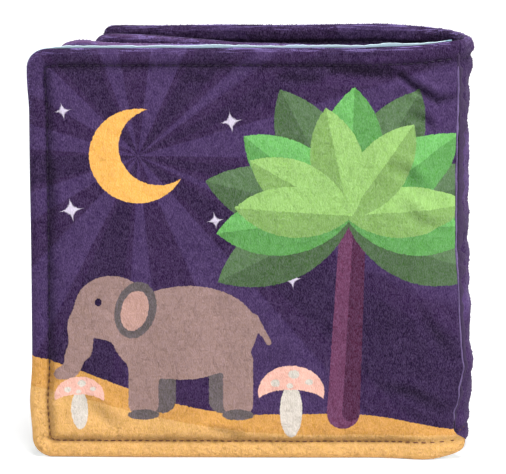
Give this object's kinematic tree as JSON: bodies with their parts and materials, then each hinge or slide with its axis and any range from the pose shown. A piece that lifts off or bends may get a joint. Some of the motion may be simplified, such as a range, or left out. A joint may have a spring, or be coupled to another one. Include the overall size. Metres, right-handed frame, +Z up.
{
  "type": "crinkle cloth book",
  "caption": "Soft cloth book standing closed: padded plush covers and inner leaves with crinkle film inside, sewn at one upright seam, the back cover bowed out in a loop.",
  "frame": {"origin": "under the middle of the closed book's bounding box, on the surface it stands on", "axes": "+X from the free page edges to the seam, +Y from the front cover to the back cover, +Z up"},
  "size_m": [0.173, 0.04, 0.165],
  "materials": {
    "cover_plush": "matte",
    "day_print": "matte",
    "dusk_print": "matte",
    "night_print": "matte",
    "stitch_thread": "satin",
    "crinkle_film": "gloss"
  },
  "bodies": {
    "spine": {"spine_seam_core": "cover_plush", "spine_seam_needle_thread": "stitch_thread", "spine_seam_bobbin_thread": "stitch_thread", "spine_loop_plush": "cover_plush", "spine_loop_lining": "night_print", "spine_loop_top_needle_thread": "stitch_thread", "spine_loop_top_bobbin_thread": "stitch_thread", "spine_loop_bottom_needle_thread": "stitch_thread", "spine_loop_bottom_bobbin_thread": "stitch_thread"},
    "third_leaf": {"leaf_3_front_panel": "dusk_print", "leaf_3_back_panel": "night_print", "leaf_3_crinkle_film": "crinkle_film", "leaf_3_needle_thread": "stitch_thread", "leaf_3_bobbin_thread": "stitch_thread"},
    "second_leaf": {"leaf_2_front_panel": "dusk_print", "leaf_2_back_panel": "dusk_print", "leaf_2_crinkle_film": "crinkle_film", "leaf_2_needle_thread": "stitch_thread", "leaf_2_bobbin_thread": "stitch_thread"},
    "front_cover": {"front_cover_plush": "cover_plush", "front_cover_lining": "day_print", "front_cover_crinkle_film": "crinkle_film", "front_cover_needle_thread": "stitch_thread", "front_cover_bobbin_thread": "stitch_thread"},
    "back_cover": {"back_cover_plush": "cover_plush", "back_cover_lining": "night_print", "back_cover_crinkle_film": "crinkle_film", "back_cover_needle_thread": "stitch_thread", "back_cover_bobbin_thread": "stitch_thread"}
  },
  "joints": [
    {"name": "third_leaf_turn", "type": "hinge", "parent": "spine", "child": "third_leaf", "pos_m": [0.07947, -0.0122, 0.0825], "axis": [0, 0, 1], "range_deg": [0, 45]},
    {"name": "second_leaf_turn", "type": "hinge", "parent": "third_leaf", "child": "second_leaf", "pos_m": [0.07947, -0.0122, 0.0825], "axis": [0, 0, 1], "range_deg": [0, 45]},
    {"name": "front_cover_turn", "type": "hinge", "parent": "second_leaf", "child": "front_cover", "pos_m": [0.07947, -0.0122, 0.0825], "axis": [0, 0, 1], "range_deg": [0, 100]},
    {"name": "back_cover_turn", "type": "hinge", "parent": "spine", "child": "back_cover", "pos_m": [0.06247, 0.0175, 0.0825], "axis": [0, 0, 1], "range_deg": [-100, 0]}
  ]
}
